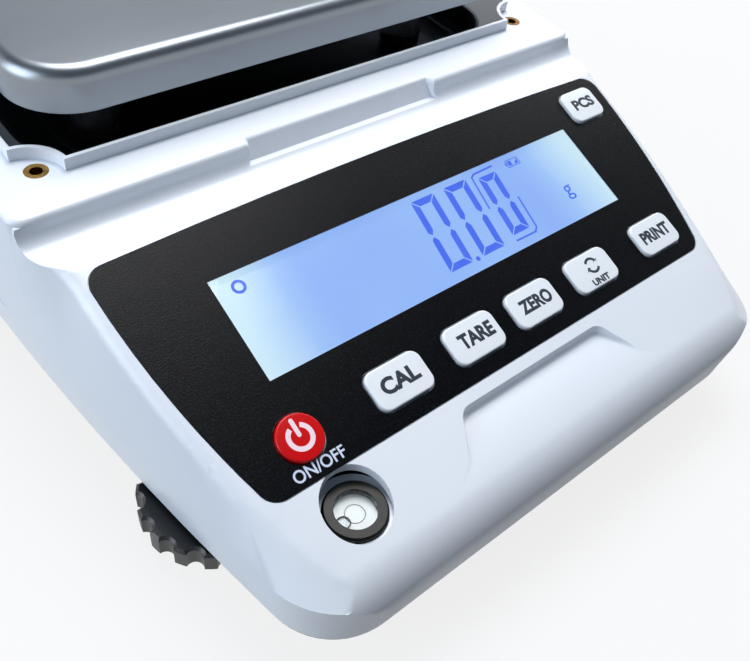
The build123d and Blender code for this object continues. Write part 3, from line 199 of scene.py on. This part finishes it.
class Finish:
    """A material whose nodes are added one by one."""

    def __init__(self, name, colour, roughness, **values):
        self.material = bpy.data.materials.new(name)
        self.material.use_nodes = True
        self.nodes = self.material.node_tree.nodes
        self.links = self.material.node_tree.links
        self.shader = self.nodes["Principled BSDF"]
        set_inputs(self.shader, Base_Color=colour, Roughness=roughness, **values)

    def add(self, kind, **values):
        node = self.nodes.new(kind)
        set_inputs(node, **values)
        return node

    def group(self, tree, **values):
        node = self.nodes.new("ShaderNodeGroup")
        node.node_tree = tree
        set_inputs(node, **values)
        return node

    def spread(self, source, low, high, target, clip=(0.3, 0.7)):
        """Send a mask to a number on the shader, spread between two values."""
        ramp = self.add("ShaderNodeMapRange", From_Min=clip[0], From_Max=clip[1], To_Min=low, To_Max=high)
        self.links.new(source, ramp.inputs["Value"])
        self.links.new(ramp.outputs["Result"], self.shader.inputs[target])
        return ramp

    def tint(self, source, first, second, clip=(0.3, 0.7)):
        """Blend two base colours by a mask."""
        ramp = self.add("ShaderNodeValToRGB")
        ramp.color_ramp.elements[0].position = clip[0]
        ramp.color_ramp.elements[0].color = first
        ramp.color_ramp.elements[1].position = clip[1]
        ramp.color_ramp.elements[1].color = second
        self.links.new(source, ramp.inputs["Fac"])
        self.links.new(ramp.outputs["Color"], self.shader.inputs["Base Color"])
        return ramp

    def bump(self, source, strength, distance):
        """Raise the surface by a height mask."""
        node = self.add("ShaderNodeBump", Strength=strength, Distance=distance)
        self.links.new(source, node.inputs["Height"])
        self.links.new(node.outputs["Normal"], self.shader.inputs["Normal"])
        return node


def moulded(name, first, second, roughness, depth=0.12, scale=1500.0, rough_span=0.05, **values):
    """Moulded plastic with grain, a slow change of tint and uneven gloss."""
    finish = Finish(name, first, roughness, **values)
    grain = finish.group(MOULDED, Scale=scale)
    finish.tint(grain.outputs["Slow"], first, second)
    finish.spread(grain.outputs["Slow"], roughness - rough_span, roughness + rough_span, "Roughness")
    finish.bump(grain.outputs["Height"], depth, 0.0001)
    return finish.material


def metal(name, first, second, roughness, scale=900.0, stretch=0.02, depth=0.06, uneven=0.25, **values):
    """Brushed or cast metal; uneven is the share by which its gloss varies."""
    finish = Finish(name, first, roughness, Metallic=1.0, **values)
    brushed = finish.group(BRUSHED, Fine_Scale=scale, Stretch=stretch)
    finish.tint(brushed.outputs["Cloud"], first, second)
    finish.spread(brushed.outputs["Streak"], roughness * (1 - uneven), roughness * (1 + uneven), "Roughness")
    finish.bump(brushed.outputs["Streak"], depth, 0.00005)
    return finish.material


def overlay_finish():
    """Printed film: near black, satin, with a fine glittering texture whose lighter specks are glints
    painted into its colour.
    """
    finish = Finish("overlay_film", srgb(6, 7, 10), 0.30, Specular_IOR_Level=0.12)
    coords = finish.add("ShaderNodeTexCoord")
    painted_glint_specks = finish.add("ShaderNodeTexVoronoi", Scale=1900.0)
    finish.links.new(coords.outputs["Object"], painted_glint_specks.inputs["Vector"])
    grain = finish.group(MOULDED, Scale=2600.0)
    # Painted glints: the colour is lighter near the Voronoi seeds, standing in for glitter catching the
    # light.
    finish.tint(painted_glint_specks.outputs["Distance"], srgb(30, 33, 40), srgb(4, 5, 8), clip=(0.10, 0.36))
    finish.spread(grain.outputs["Slow"], 0.27, 0.33, "Roughness")
    finish.bump(grain.outputs["Height"], 0.45, 0.00016)
    return finish.material


def lit_display_finish():
    """Lit liquid crystal: pale blue light that whitens towards the lamps at both ends."""
    finish = Finish("lit_display", srgb(20, 30, 60), 0.25)
    coords = finish.add("ShaderNodeTexCoord")
    parts = finish.add("ShaderNodeSeparateXYZ")
    across = finish.add("ShaderNodeMath")
    across.operation = "ABSOLUTE"
    reach = finish.add("ShaderNodeMapRange", From_Min=0.040, From_Max=0.068, To_Min=0.0, To_Max=0.8)
    cloud = finish.add("ShaderNodeTexNoise", Scale=26.0, Detail=1.0)
    blend = finish.add("ShaderNodeMath")
    blend.operation = "MULTIPLY_ADD"
    blend.inputs[1].default_value = 0.55
    ramp = finish.add("ShaderNodeValToRGB")
    ramp.color_ramp.elements[0].position = 0.18
    ramp.color_ramp.elements[0].color = srgb(150, 186, 253)
    ramp.color_ramp.elements[1].position = 0.95
    ramp.color_ramp.elements[1].color = srgb(214, 243, 255)
    middle = ramp.color_ramp.elements.new(0.5)
    middle.color = srgb(165, 203, 254)
    links = finish.links
    links.new(coords.outputs["Object"], parts.inputs["Vector"])
    links.new(coords.outputs["Object"], cloud.inputs["Vector"])
    links.new(parts.outputs["X"], across.inputs[0])
    links.new(across.outputs["Value"], reach.inputs["Value"])
    links.new(cloud.outputs["Fac"], blend.inputs[0])
    links.new(reach.outputs["Result"], blend.inputs[2])
    links.new(blend.outputs["Value"], ramp.inputs["Fac"])
    links.new(ramp.outputs["Color"], finish.shader.inputs["Emission Color"])
    finish.shader.inputs["Emission Strength"].default_value = 0.92
    return finish.material


def clear(name, colour, roughness, ior):
    """Clear plastic, glass or liquid."""
    return Finish(name, colour, roughness, Transmission_Weight=1.0, IOR=ior).material


def glow(name, colour, strength, base):
    """Ink or crystal that is lit from behind."""
    return Finish(name, base, 0.4, Emission_Color=colour, Emission_Strength=strength).material


WHITE_A = srgb(236, 241, 248)
WHITE_B = srgb(229, 235, 244)
FINISHES = {
    "abs_white": moulded("housing_white", WHITE_A, WHITE_B, 0.36, depth=0.10),
    "base_grey": moulded("base_dark", srgb(46, 48, 52), srgb(36, 38, 42), 0.55, depth=0.25),
    "overlay_black": overlay_finish(),
    "window_clear": clear("window_acrylic", (0.97, 0.98, 1.0, 1.0), 0.03, 1.2),
    "lcd_cell": lit_display_finish(),
    "backlight_white": moulded("light_guide", srgb(235, 240, 250), srgb(220, 230, 245), 0.3),
    "board_green": moulded("board_lacquer", srgb(18, 92, 48), srgb(12, 74, 38), 0.3, scale=600.0),
    "screw_steel": metal("plated_steel", srgb(196, 198, 202), srgb(178, 180, 186), 0.3, stretch=1.0),
    "switch_black": moulded("switch_plastic", srgb(22, 22, 24), srgb(30, 30, 32), 0.45),
    "key_white": moulded("key_plastic", srgb(240, 245, 250), srgb(234, 240, 246), 0.24, depth=0.04,
                         Coat_Weight=0.2, Coat_Roughness=0.1),
    "key_red": moulded("power_key_red", srgb(214, 14, 18), srgb(200, 6, 10), 0.24, depth=0.04,
                       Specular_IOR_Level=0.3),
    "level_black": moulded("level_cup_black", srgb(4, 4, 5), srgb(7, 7, 8), 0.30, depth=0.02,
                           Specular_IOR_Level=0.15),
    "level_white": moulded("level_target_white", srgb(238, 241, 244), srgb(228, 232, 236), 0.4),
    "level_clear": clear("level_lens_clear", (0.98, 1.0, 0.99, 1.0), 0.0, 1.12),
    "insert_brass": metal("turned_brass", srgb(206, 164, 92), srgb(166, 122, 60), 0.24, stretch=0.6),
    "plate_mirror": metal("polished_plate", srgb(150, 152, 156), srgb(140, 142, 146), 0.07, depth=0.008),
    "pan_steel": metal("brushed_pan", srgb(139, 145, 152), srgb(134, 140, 147), 0.34, scale=2600.0,
                       stretch=0.012, depth=0.004, uneven=0.06),
    "cast_aluminium": metal("cast_alloy", srgb(186, 188, 192), srgb(164, 167, 172), 0.45, stretch=1.0,
                            scale=500.0, depth=0.25),
    "pad_rubber": moulded("pad_rubber", srgb(26, 26, 27), srgb(36, 36, 37), 0.8, depth=0.4),
    "cell_aluminium": metal("milled_alloy", srgb(206, 208, 211), srgb(190, 192, 196), 0.3, depth=0.08),
    "knob_black": moulded("knob_plastic", srgb(20, 20, 22), srgb(28, 28, 31), 0.4, depth=0.3),
    "battery_wrap": moulded("battery_film", srgb(24, 66, 132), srgb(18, 54, 112), 0.2),
    "ribbon_grey": moulded("ribbon_sheath", srgb(160, 163, 168), srgb(146, 150, 156), 0.45),
    "cable_black": moulded("cable_sheath", srgb(24, 24, 26), srgb(32, 32, 34), 0.5),
    "socket_black": moulded("socket_plastic", srgb(18, 18, 20), srgb(26, 26, 28), 0.4),
}
LEGEND_INK = moulded("legend_ink", srgb(30, 40, 50), srgb(38, 48, 60), 0.5, depth=0.05)
PALE_INK = moulded("pale_ink", srgb(214, 224, 244), srgb(200, 212, 236), 0.5, depth=0.05)
POWER_INK = moulded("power_ink", srgb(252, 226, 236), srgb(250, 218, 230), 0.45, depth=0.05)
CRYSTAL_INK = glow("crystal_dark", srgb(68, 108, 238), 1.0, srgb(2, 4, 12))
# Dark ink of the printed target ring, also used as painted shade for the bubble's outline
RING_INK_AND_BUBBLE_SHADE = moulded("ring_ink_and_bubble_shade", srgb(18, 24, 28), srgb(26, 32, 36), 0.5, depth=0.02)


# Modelling helpers

def pick(piece):
    """Make a piece the only one selected, and the active one."""
    bpy.ops.object.select_all(action="DESELECT")
    piece.select_set(True)
    bpy.context.view_layer.objects.active = piece


def dress(piece, material):
    """Give a piece one material."""
    piece.data.materials.clear()
    piece.data.materials.append(material)


def place(piece, matrix):
    """Move a piece by a matrix and put its place in its mesh."""
    pick(piece)
    piece.matrix_world = matrix @ piece.matrix_world
    bpy.ops.object.transform_apply(location=True, rotation=True, scale=True)


def copy_of(node, smooth_angle=32.0):
    """A merged and smoothed copy of a CAD node, which takes that node's place."""
    source = NODES[node]
    piece = source.copy()
    piece.data = source.data.copy()
    piece.parent = None
    piece.name = f"{node}_skin"
    for key in list(piece.keys()):
        del piece[key]
    bpy.context.scene.collection.objects.link(piece)
    pick(piece)
    bpy.ops.object.mode_set(mode="EDIT")
    bpy.ops.mesh.select_all(action="SELECT")
    bpy.ops.mesh.remove_doubles(threshold=0.000004)
    bpy.ops.object.mode_set(mode="OBJECT")
    if piece.data.has_custom_normals:
        bpy.ops.mesh.customdata_custom_splitnormals_clear()
    bpy.ops.object.shade_smooth_by_angle(angle=radians(smooth_angle))
    dress(piece, FINISHES[SLOT_OF[node]])
    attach(piece, BODY_OF[node])
    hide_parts(node)
    return piece


def join_body(piece, material, node):
    """Dress a piece that is printed on, or belongs to, the body of a CAD node."""
    dress(piece, material)
    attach(piece, BODY_OF[node])
    return piece


def lettering(name, words, width, height, matrix, weight=0.0):
    """Generic words as a thin printed layer of a given width and height."""
    bpy.ops.object.select_all(action="DESELECT")
    bpy.ops.object.text_add()
    piece = bpy.context.object
    piece.name = name
    piece.data.body = words
    piece.data.extrude = 0.01
    piece.data.offset = weight
    piece.data.resolution_u = 4
    bpy.ops.object.convert(target="MESH")
    piece = bpy.context.object
    low = Vector([min(v.co[i] for v in piece.data.vertices) for i in range(3)])
    high = Vector([max(v.co[i] for v in piece.data.vertices) for i in range(3)])
    middle = (low + high) / 2
    size = high - low
    fit = Matrix.Diagonal((width / size.x, height / size.y, PRINT / size.z, 1.0))
    place(piece, matrix @ fit @ Matrix.Translation(-middle))
    return piece


def printed(name, outlines, matrix, thickness=PRINT):
    """Flat closed outlines in millimetres as a thin printed layer."""
    curve = bpy.data.curves.new(name, "CURVE")
    curve.dimensions = "2D"
    curve.fill_mode = "BOTH"
    curve.extrude = thickness / 2
    for outline in outlines:
        spline = curve.splines.new("POLY")
        spline.points.add(len(outline) - 1)
        for point, (x, y) in zip(spline.points, outline):
            point.co = (x, y, 0, 1)
        spline.use_cyclic_u = True
    piece = bpy.data.objects.new(name, curve)
    bpy.context.scene.collection.objects.link(piece)
    pick(piece)
    bpy.ops.object.convert(target="MESH")
    piece = bpy.context.object
    place(piece, matrix)
    return piece


def on_panel(u, v, h):
    """Matrix from flat millimetres to a place on the console, h off its surface."""
    return PANEL @ Matrix.Translation((u, v, h))


def arc_band(inner, outer, start, stop, steps=36):
    """Outline of a band between two radii, from one angle to another in degrees."""
    angles = [radians(start + (stop - start) * i / steps) for i in range(steps + 1)]
    out = [(outer * cos(a), outer * sin(a)) for a in angles]
    back = [(inner * cos(a), inner * sin(a)) for a in reversed(angles)]
    return out + back


def circle(radius, steps=48):
    """Outline of a circle."""
    return [(radius * cos(2 * pi * i / steps), radius * sin(2 * pi * i / steps)) for i in range(steps)]


def rectangle(half_width, half_height):
    """Outline of a rectangle about the middle."""
    return [(-half_width, -half_height), (half_width, -half_height), (half_width, half_height),
            (-half_width, half_height)]


def moved(outline, x, y):
    """An outline shifted sideways."""
    return [(a + x, b + y) for a, b in outline]


# Stage, light and camera

def seen_directly(tree):
    """1 for what the camera sees, also in a reflection or through glass."""
    rays = tree.nodes.new("ShaderNodeLightPath")
    first = tree.nodes.new("ShaderNodeMath")
    first.operation = "MAXIMUM"
    both = tree.nodes.new("ShaderNodeMath")
    both.operation = "MAXIMUM"
    tree.links.new(rays.outputs["Is Camera Ray"], first.inputs[0])
    tree.links.new(rays.outputs["Is Glossy Ray"], first.inputs[1])
    tree.links.new(first.outputs["Value"], both.inputs[0])
    tree.links.new(rays.outputs["Is Transmission Ray"], both.inputs[1])
    return both.outputs["Value"]


def build_stage():
    """Floor, pale where the camera sees it, with soft studio light and the camera."""
    scene = bpy.context.scene
    scene.view_settings.view_transform = "Standard"
    bpy.ops.object.select_all(action="DESELECT")
    bpy.ops.mesh.primitive_plane_add(size=12.0, location=(0, 0, 0))
    floor = bpy.context.object
    floor.name = "floor"
    finish = Finish("floor_pale", srgb(92, 93, 95), 0.9, Specular_IOR_Level=0.1)
    lift = finish.add("ShaderNodeEmission", Color=(1.0, 1.0, 1.0, 1.0))
    total = finish.nodes.new("ShaderNodeAddShader")
    seen = seen_directly(finish.material.node_tree)
    scaled = finish.add("ShaderNodeMath")
    scaled.operation = "MULTIPLY"
    scaled.inputs[1].default_value = FLOOR_LIFT
    finish.links.new(seen, scaled.inputs[0])
    finish.links.new(scaled.outputs["Value"], lift.inputs["Strength"])
    finish.links.new(finish.shader.outputs[0], total.inputs[0])
    finish.links.new(lift.outputs[0], total.inputs[1])
    finish.links.new(total.outputs[0], finish.nodes["Material Output"].inputs["Surface"])
    dress(floor, finish.material)

    world = bpy.data.worlds.new("studio")
    world.use_nodes = True
    tree = world.node_tree
    around = tree.nodes["Background"]
    set_inputs(around, Color=(0.66, 0.79, 1.0, 1.0), Strength=AMBIENT)
    backdrop = tree.nodes.new("ShaderNodeBackground")
    set_inputs(backdrop, Color=(0.95, 0.96, 0.97, 1.0), Strength=1.0)
    direction = tree.nodes.new("ShaderNodeTexCoord")
    height = tree.nodes.new("ShaderNodeSeparateXYZ")
    fade = tree.nodes.new("ShaderNodeMapRange")
    set_inputs(fade, From_Min=BACKDROP_TOP, From_Max=BACKDROP_END, To_Min=1.0, To_Max=0.0)
    both = tree.nodes.new("ShaderNodeMath")
    both.operation = "MULTIPLY"
    choose = tree.nodes.new("ShaderNodeMixShader")
    tree.links.new(direction.outputs["Generated"], height.inputs["Vector"])
    tree.links.new(height.outputs["Z"], fade.inputs["Value"])
    tree.links.new(fade.outputs["Result"], both.inputs[0])
    tree.links.new(seen_directly(tree), both.inputs[1])
    tree.links.new(both.outputs["Value"], choose.inputs[0])
    tree.links.new(around.outputs[0], choose.inputs[1])
    tree.links.new(backdrop.outputs[0], choose.inputs[2])
    tree.links.new(choose.outputs[0], tree.nodes["World Output"].inputs["Surface"])
    scene.world = world

    lamps = (
        ("overhead_softbox", (0.20, 0.32, 1.0), 0.60, 11.0, (1.0, 1.0, 1.0)),
        ("left_softbox", (-0.95, 0.16, 0.42), 0.70, 7.4, (0.80, 0.90, 1.0)),
        ("right_strip", (0.85, 0.25, 0.60), 0.40, 1.8, (1.0, 1.0, 1.0)),
    )
    for name, spot, size, power, colour in lamps:
        data = bpy.data.lights.new(name, "AREA")
        data.size = size
        data.energy = power
        data.color = colour
        lamp = bpy.data.objects.new(name, data)
        lamp.location = spot
        aim = Vector((0, 0, 0.05)) - Vector(spot)
        lamp.rotation_euler = aim.to_track_quat("-Z", "Y").to_euler()
        scene.collection.objects.link(lamp)

    data = bpy.data.cameras.new("camera")
    data.lens = LENS
    data.clip_start = 0.005
    camera = bpy.data.objects.new("camera", data)
    camera.location = EYE
    camera.rotation_euler = EYE_TURN
    scene.collection.objects.link(camera)
    scene.camera = camera


# Console: legends on the keys and the overlay

def build_legends():
    """Printed legends, each on the key or sheet that carries it."""
    face = KEY_FACE + PRINT / 2
    for key, (words, u, v, width, height) in KEYS.items():
        piece = lettering(f"{key}_legend", words, width, height, on_panel(u, v, face), weight=LEGEND_WEIGHT)
        join_body(piece, LEGEND_INK, f"key_{key}")
    arrows = []
    for turn in (0.0, 180.0):
        band = arc_band(*ARROW_BAND, turn + ARROW_SWEEP[0], turn + ARROW_SWEEP[1], steps=16)
        tip = radians(turn + ARROW_TIP)
        base = radians(turn + ARROW_BASE)
        low, middle, high = ARROW_HEAD
        head = [(middle * cos(tip), middle * sin(tip)),
                (high * cos(base), high * sin(base)),
                (low * cos(base), low * sin(base))]
        arrows += [band, head]
    piece = printed("unit_arrows", arrows, on_panel(*ARROWS, face))
    join_body(piece, LEGEND_INK, "key_unit")
    low, high = POWER_STROKE_ENDS
    half = POWER_STROKE_HALF
    bar = [(-half, low), (half, low), (half, high), (-half, high)]
    rounds = [moved(circle(half, 16), 0, low), moved(circle(half, 16), 0, high)]
    ring = arc_band(*POWER_RING, 90 + POWER_RING_GAP, 450 - POWER_RING_GAP, steps=48)
    symbol = printed("power_symbol", [ring], on_panel(*POWER, face))
    join_body(symbol, POWER_INK, "key_power")
    stroke = printed("power_stroke", [bar], on_panel(*POWER, face))
    join_body(stroke, POWER_INK, "key_power")
    ends = printed("power_stroke_ends", rounds, on_panel(*POWER, face - PRINT / 4), thickness=PRINT / 2)
    join_body(ends, POWER_INK, "key_power")
    words, u, v, width, height = POWER_WORDS
    piece = lettering("power_words", words, width, height, on_panel(u, v, OVERLAY_FACE + PRINT / 2),
                      weight=POWER_WORDS_WEIGHT)
    join_body(piece, PALE_INK, "keypad_overlay")


# Display: seven-segment figures behind the window

def zero_figure(width, height, stroke, gap, slant):
    """Outlines of the six lit segments of a seven-segment zero, leaning to the right."""
    w = width / 2
    h = height / 2
    top = [(-w + gap, h), (w - gap, h), (w - gap - stroke, h - stroke), (-w + gap + stroke, h - stroke)]
    side = [(-w, h - gap), (-w + stroke, h - gap - stroke), (-w + stroke, gap + stroke * 0.7),
            (-w + stroke / 2, gap), (-w, gap + stroke * 0.5)]
    shapes = [top, [(x, -y) for x, y in top]]
    for mirror_x in (1, -1):
        for mirror_y in (1, -1):
            shapes.append([(x * mirror_x, y * mirror_y) for x, y in side])
    return [[(x + y * tan(radians(slant)), y) for x, y in shape] for shape in shapes]


def stroke_line(points, width):
    """Outline of an open line with a stroke width, mitred at its corners."""
    half = width / 2
    left = []
    right = []
    for i, point in enumerate(points):
        here = Vector(point)
        before = Vector(points[max(i - 1, 0)])
        after = Vector(points[min(i + 1, len(points) - 1)])
        along_in = (here - before).normalized() if i else (after - here).normalized()
        along_out = (after - here).normalized() if i < len(points) - 1 else along_in
        along = (along_in + along_out).normalized()
        side = Vector((-along.y, along.x))
        reach = half / max(side.dot(Vector((-along_in.y, along_in.x))), 0.3)
        left.append(tuple(here + side * reach))
        right.append(tuple(here - side * reach))
    return left + right[::-1]


def behind_window(u, v):
    """Where a sign that the camera sees at (u, v) of the console lies on the crystal below."""
    eye = PANEL.inverted() @ EYE
    grow = (eye.z - LCD_FACE) / eye.z
    return eye.x + (u - eye.x) * grow, eye.y + (v - eye.y) * grow


def build_display():
    """Signs of the liquid crystal."""
    height = LCD_FACE + PRINT
    shapes = []
    for u, v, width, tall in FIGURES:
        x, y = behind_window(u, v)
        for shape in zero_figure(width, tall, FIGURE_STROKE, FIGURE_GAP, FIGURE_SLANT):
            shapes.append(moved(shape, x, y))
    x, y = behind_window(*POINT)
    shapes.append(moved(circle(POINT_RADIUS, 20), x, y))
    for line in BRACKETS:
        shapes.append(stroke_line([behind_window(*point) for point in line], BRACKET_WIDTH))
    join_body(printed("crystal_figures", shapes, on_panel(0, 0, height)), CRYSTAL_INK, "lcd_glass")

    x, y = behind_window(*STABLE_SIGN)
    ring = printed("stable_ring", [circle(radius) for radius in STABLE_RADII], on_panel(x, y, height))
    join_body(ring, CRYSTAL_INK, "lcd_glass")
    x, y = behind_window(*GRAM_SIGN)
    gram = lettering("gram_sign", "g", *GRAM_SIZE, on_panel(x, y, height))
    join_body(gram, CRYSTAL_INK, "lcd_glass")
    x, y = behind_window(*BATTERY_SIGN)
    case = rectangle(*BATTERY_HALF)
    inside = rectangle(BATTERY_HALF[0] - BATTERY_LINE, BATTERY_HALF[1] - BATTERY_LINE)
    sign = printed("battery_sign", [case, inside], on_panel(x, y, height))
    join_body(sign, CRYSTAL_INK, "lcd_glass")
    bars = [[(-3.1, -0.6), (-2.7, -0.6), (-2.7, 0.6), (-3.1, 0.6)],
            [(-2.0, -0.8), (-0.5, -0.8), (-0.5, 0.8), (-2.0, 0.8)],
            [(0.2, -0.8), (2.0, -0.8), (2.0, 0.8)]]
    sign = printed("battery_bars", bars, on_panel(x, y, height))
    join_body(sign, CRYSTAL_INK, "lcd_glass")


# Spirit level: printed ring, bubble, and a dark ring painted as the shade round the bubble

def build_level():
    """Ring on the target disc, and the bubble under the lens, edged by a dark torus painted as its shade."""
    low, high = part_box("level_target")
    middle_x = (low[0] + high[0]) / 2
    middle_y = (low[1] + high[1]) / 2
    flat = Matrix.Translation((middle_x, middle_y, high[2])) @ Matrix.Scale(MM, 4)
    ring = printed("level_ring", [circle(radius) for radius in TARGET_RING],
                   flat @ Matrix.Translation((0, 0, PRINT)))
    join_body(ring, RING_INK_AND_BUBBLE_SHADE, "level_target")
    lens_low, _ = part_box("level_lens")
    spot = Vector((middle_x, middle_y, lens_low[2])) + Vector(BUBBLE_SHIFT) * MM
    # A dark torus round the bubble is painted shade, standing in for the dark edge that refraction gives it.
    bpy.ops.object.select_all(action="DESELECT")
    bpy.ops.mesh.primitive_torus_add(major_radius=BUBBLE_SHADE_RING_RADIUS * MM,
                                     minor_radius=BUBBLE_SHADE_RING_THICKNESS * MM,
                                     major_segments=40, minor_segments=10, location=spot)
    shade_ring = bpy.context.object
    shade_ring.name = "bubble_painted_shade_ring"
    pick(shade_ring)
    bpy.ops.object.transform_apply(location=True, rotation=True, scale=True)
    bpy.ops.object.shade_smooth()
    join_body(shade_ring, RING_INK_AND_BUBBLE_SHADE, "level_target")
    bpy.ops.mesh.primitive_uv_sphere_add(segments=32, ring_count=16, radius=BUBBLE_RADIUS * MM,
                                         location=spot)
    bubble = bpy.context.object
    bubble.name = "bubble"
    bubble.scale.z = BUBBLE_FLATNESS
    pick(bubble)
    bpy.ops.object.transform_apply(location=True, rotation=True, scale=True)
    bpy.ops.object.shade_smooth()
    join_body(bubble, clear("bubble_clear", (0.93, 0.95, 0.97, 1.0), 0.02, 1.12), "level_lens")


build_stage()
for node_name, node in NODES.items():
    dress(node, FINISHES[SLOT_OF[node_name]])
for node_name in ("top_case", "bottom_case", "keypad_overlay", "pan", "cover_plate", "level_cup",
                  "level_target", "key_cal", "key_tare", "key_zero", "key_unit", "key_print", "key_pcs",
                  "key_power"):
    copy_of(node_name)
for corner in ("front_left", "front_right", "rear_left", "rear_right"):
    for part in ("foot_pad", "foot_knob", "foot_stud"):
        copy_of(f"{corner}_{part}")
build_legends()
build_display()
build_level()
